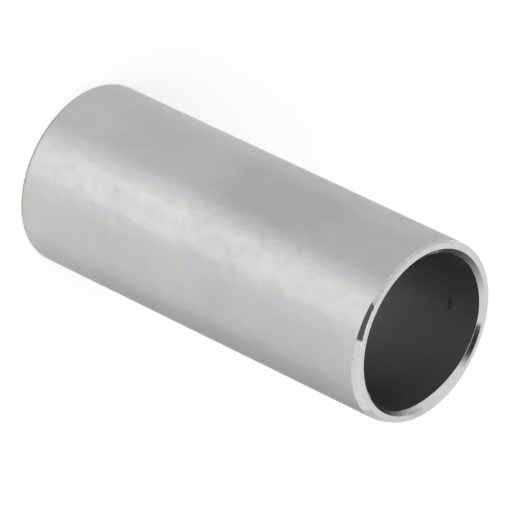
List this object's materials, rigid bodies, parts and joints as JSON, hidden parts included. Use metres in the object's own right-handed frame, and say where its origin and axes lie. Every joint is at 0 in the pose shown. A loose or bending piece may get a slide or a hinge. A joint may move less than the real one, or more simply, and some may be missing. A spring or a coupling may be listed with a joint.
{
  "type": "spacer sleeve",
  "caption": "Plain round metal tube, faced square and chamfered inside and out at both ends, that keeps parts a set distance apart on a shaft or bolt.",
  "frame": {"origin": "centre of the lower end face", "axes": "+Z along the sleeve's axis, from the lower end face to the upper one"},
  "size_m": [0.042, 0.042, 0.1],
  "materials": {
    "steel": "dull grey drawn tube outside with faint mottling, bright turned end faces and chamfers, darker drawn bore"
  },
  "bodies": {
    "root": {"spacer_sleeve": "steel"}
  },
  "joints": []
}
